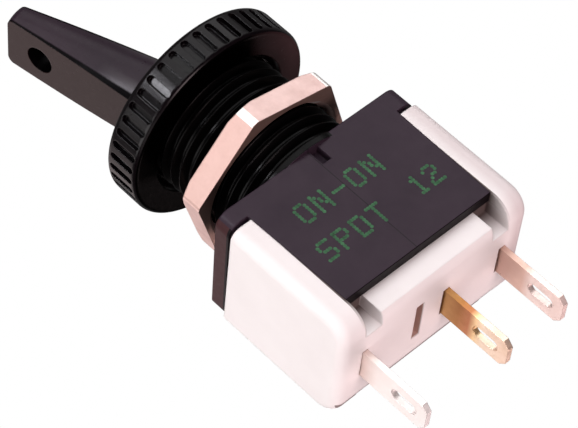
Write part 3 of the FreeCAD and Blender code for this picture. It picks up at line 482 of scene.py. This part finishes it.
# Ring nut: glossy near-black moulding; its rear face carries painted black shade and a painted brownish
# reflection that grows to the right
ringLook = {
    "dark": (0.0018, 0.0009, 0.0015), "light": (0.0032, 0.0016, 0.0025), "rough": (0.20, 0.28),
    "cloudScale": 300.0, "grainScale": 2600.0, "relief": 0.03, "edge": 0.10, "specular": 0.17,
    "rearBelow": 9.53,
    "rearShade": (0.0002, 0.0001, 0.0001),
    "rearReflection": (0.045, 0.024, 0.026),
    "reflectionAcross": (2.5, 7.5),             # x where the painted reflection starts and is full
    "rearShine": 0.02,
}


# The rear face, painted with shade and reflection, is what lies under a height just over its own
def ringZone(tree, place, colour, gloss, shine):
    look = ringLook
    across, deep, high = axesOf(tree, place)
    rear = below(tree, high, look["rearBelow"])
    # the rear face's black is painted shade and its brown a painted reflection
    reflectionShare = riseOf(tree, across, *look["reflectionAcross"])
    tone = blendOf(tree, reflectionShare, look["rearShade"], look["rearReflection"])
    return blendOf(tree, rear, colour, tone), gloss, levelOf(tree, rear, shine, look["rearShine"])


# Finishes of the pieces inside and of the print
looks = {
    "contactBronze": {"dark": (0.45, 0.26, 0.13), "light": (0.62, 0.38, 0.20), "rough": (0.25, 0.38),
                      "cloudScale": 500.0, "grainScale": 2500.0, "relief": 0.2, "edge": 0.05, "metal": 1.0},
    "contactSilver": {"dark": (0.75, 0.75, 0.73), "light": (0.88, 0.88, 0.86), "rough": (0.18, 0.3),
                      "cloudScale": 500.0, "grainScale": 2500.0, "relief": 0.15, "edge": 0.05, "metal": 1.0},
    "groundSteel": {"dark": (0.42, 0.42, 0.43), "light": (0.58, 0.58, 0.60), "rough": (0.2, 0.34),
                    "cloudScale": 500.0, "grainScale": 3000.0, "relief": 0.2, "edge": 0.05, "metal": 1.0},
    "paleNylon": {"dark": (0.66, 0.64, 0.58), "light": (0.74, 0.72, 0.66), "rough": (0.35, 0.5),
                  "cloudScale": 300.0, "grainScale": 2200.0, "relief": 0.2, "edge": 0.08},
    "sealRubber": {"dark": (0.012, 0.012, 0.012), "light": (0.02, 0.02, 0.02), "rough": (0.6, 0.75),
                   "cloudScale": 300.0, "grainScale": 2600.0, "relief": 0.3, "edge": 0.05},
    "greenInk": {"dark": (0.010, 0.060, 0.020), "light": (0.045, 0.17, 0.070), "rough": (0.5, 0.65),
                 "cloudScale": 1800.0, "grainScale": 4000.0, "relief": 0.1, "edge": 0, "specular": 0.3},
}
finishes = {name: plainFinish(name, look) for name, look in looks.items()}
finishes["coverMoulding"] = plainFinish("coverMoulding", coverLook, coverZone)
finishes["baseMoulding"] = plainFinish("baseMoulding", baseLook, baseZone)
finishes["leverMoulding"] = plainFinish("leverMoulding", leverLook, leverZone)
finishes["nutPlating"] = plainFinish("nutPlating", nutLook, nutZone)
finishes["ringMoulding"] = plainFinish("ringMoulding", ringLook, ringZone)
for name, tones in bladeTones.items():
    finishes[name] = plainFinish(name, {**bladeLook, **tones}, bladeLightAndShade(tones["tones"]))

nodeFinish = {
    "housing_cover": "coverMoulding", "terminal_base": "baseMoulding", "toggle_lever": "leverMoulding",
    "pivot_pin": "groundSteel", "pin_retainer": "coverMoulding", "lever_seal": "sealRubber",
    "plunger": "paleNylon", "plunger_spring": "groundSteel", "rocker_blade": "contactBronze",
    "moving_contact_left": "contactSilver", "moving_contact_right": "contactSilver",
    "rocker_cradle": "contactBronze", "cradle_rivet": "contactBronze", "left_terminal": "leftTin",
    "common_terminal": "middleBrass", "right_terminal": "rightTin", "fixed_contact_left": "contactSilver",
    "fixed_contact_right": "contactSilver", "hex_nut": "nutPlating", "ring_nut": "ringMoulding",
}


# One finish on the whole piece
def setFinish(piece, finish):
    piece.data.materials.clear()
    piece.data.materials.append(finishes[finish])


for name, finish in nodeFinish.items():
    setFinish(nodes[name], finish)
print("finishes set on", len(nodeFinish), "nodes")


# Print on the front plate: two rows of dotted letters that name the contact form and the action
printSettings = {
    "plateFace": -5.6 * mm,
    "inkThickness": 0.006 * mm,
    "dotPitch": (0.25 * mm, 0.27 * mm),
    "dotRadius": 0.155 * mm,
    "dotSides": 8,
    "letterRows": 7,
    # text, left end and baseline of the row, letter pitch
    "rows": [("ON-ON", -4.85 * mm, -4.75 * mm, 1.72 * mm), ("SPDT", -5.9 * mm, -8.25 * mm, 1.72 * mm),
             ("12", 3.4 * mm, -8.25 * mm, 1.5 * mm)],
    "letters": {
        "O": "01110 10001 10001 10001 10001 10001 01110",
        "N": "10001 11001 10101 10101 10011 10001 10001",
        "-": "00000 00000 00000 11111 00000 00000 00000",
        "S": "01111 10000 10000 01110 00001 00001 11110",
        "P": "11110 10001 10001 11110 10000 10000 10000",
        "D": "11110 10001 10001 10001 10001 10001 11110",
        "T": "11111 00100 00100 00100 00100 00100 00100",
        "1": "00100 01100 00100 00100 00100 00100 01110",
        "2": "01110 10001 00001 00110 01000 10000 11111",
    },
}


# New piece from its corner points and faces
def addMesh(name, points, faces):
    mesh = bpy.data.meshes.new(name)
    mesh.from_pydata([tuple(point) for point in points], [], faces)
    piece = bpy.data.objects.new(name, mesh)
    bpy.context.scene.collection.objects.link(piece)
    return piece


# A dot sits at letter place plus column and row times the pitch; each is a small many-sided disc
def makePrint(settings):
    turn = np.arange(settings["dotSides"]) * 2 * np.pi / settings["dotSides"]
    disc = np.column_stack([np.cos(turn), np.zeros(len(turn)), np.sin(turn)]) * settings["dotRadius"]
    face = settings["plateFace"] - settings["inkThickness"]
    acrossPitch, highPitch = settings["dotPitch"]
    points, faces = [], []
    for text, left, base, pitch in settings["rows"]:
        for place, letter in enumerate(text):
            for row, line in enumerate(settings["letters"][letter].split()):
                for column, mark in enumerate(line):
                    if mark == "1":
                        across = left + place * pitch + column * acrossPitch
                        high = base + (settings["letterRows"] - 1 - row) * highPitch
                        faces.append(tuple(range(len(points), len(points) + len(turn))))
                        points.extend(disc + np.array([across, face, high]))
    piece = addMesh("labelPrint", points, faces)
    setFinish(piece, "greenInk")
    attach(piece, "housing")


makePrint(printSettings)
print("label printed")


# Stage: a pale floor far below, white behind the object, and soft lamps on every side
stageSettings = {
    "floorHeight": -0.6,
    "floorSize": 6.0,
    "floorColour": (0.15, 0.14, 0.14),     # what the floor sends back up; the camera sees it white
    "floorRoughness": 0.8,
    "worldColour": (0.20, 0.196, 0.196),
    "lampDistance": 0.6,
    "glossOnly": ["keyLamp"],              # seen in reflections alone
    "lamps": {
        # name: direction from the object, size, level that it lights a facing surface to, colour
        "keyLamp": ((-0.60, -0.66, 0.45), 0.10, 0.32, (0.95, 0.94, 1.0)),
        "frontLamp": ((-0.10, -0.95, 0.25), 0.50, 0.45, (1.0, 0.99, 1.0)),
        "rightLamp": ((0.55, -0.75, 0.36), 0.50, 0.34, (1.0, 0.99, 1.0)),
        "backLamp": ((-0.46, 0.79, 0.40), 0.50, 0.20, (1.0, 0.84, 0.83)),
        "leftLamp": ((-0.97, -0.05, 0.10), 0.50, 0.68, (1.0, 0.975, 0.975)),
        "lowLamp": ((-0.15, -0.45, -0.88), 0.30, 0.55, (1.0, 0.80, 0.81)),
        "lowBackLamp": ((0.35, 0.55, -0.75), 0.40, 0.33, (1.0, 0.80, 0.81)),
        "cornerLamp": ((-0.70, 0.10, -0.70), 0.40, 0.12, (1.0, 0.90, 0.90)),
    },
}


# Surface shader mixed with plain white, which only the camera sees
def whiteToCamera(tree, surface):
    rays = addNode(tree, "ShaderNodeLightPath")
    white = addNode(tree, "ShaderNodeEmission", Color=(1, 1, 1, 1), Strength=1.0)
    mix = addNode(tree, "ShaderNodeMixShader", Fac=rays.outputs["Is Camera Ray"])
    tree.links.new(surface, mix.inputs[1])
    tree.links.new(white.outputs[0], mix.inputs[2])
    return mix.outputs[0]


# Square floor under the object
def makeFloor(settings):
    half = settings["floorSize"] / 2
    corners = [(-half, -half), (half, -half), (half, half), (-half, half)]
    floor = addMesh("floor", [(*corner, settings["floorHeight"]) for corner in corners], [(0, 1, 2, 3)])
    material, tree, shader = startMaterial("floorPaint")
    shader.inputs["Base Color"].default_value = (*settings["floorColour"], 1)
    shader.inputs["Roughness"].default_value = settings["floorRoughness"]
    output = next(node for node in tree.nodes if node.type == "OUTPUT_MATERIAL")
    tree.links.new(whiteToCamera(tree, shader.outputs["BSDF"]), output.inputs["Surface"])
    floor.data.materials.append(material)


# Even pale light all round; the camera sees plain white
def makeWorld(settings):
    world = bpy.data.worlds.new("studio")
    bpy.context.scene.world = world
    world.use_nodes = True
    tree = world.node_tree
    tree.nodes.clear()
    output = tree.nodes.new("ShaderNodeOutputWorld")
    light = addNode(tree, "ShaderNodeBackground", Color=(*settings["worldColour"], 1), Strength=1.0)
    tree.links.new(whiteToCamera(tree, light.outputs[0]), output.inputs["Surface"])


# Disk lamp; its power is the level times the square of pi times its distance
def makeLamp(settings, name, direction, size, level, colour):
    distance = settings["lampDistance"]
    data = bpy.data.lights.new(name, "AREA")
    data.shape = "DISK"
    data.size = size
    data.energy = level * (math.pi * distance) ** 2
    data.color = colour
    lamp = bpy.data.objects.new(name, data)
    lamp.location = Vector(direction).normalized() * distance
    lamp.rotation_euler = (-lamp.location).to_track_quat("-Z", "Y").to_euler()
    lamp.visible_camera = False
    lamp.visible_diffuse = name not in settings["glossOnly"]
    bpy.context.scene.collection.objects.link(lamp)


makeFloor(stageSettings)
makeWorld(stageSettings)
for lampName, lampLook in stageSettings["lamps"].items():
    makeLamp(stageSettings, lampName, *lampLook)
print("stage and lamps made")
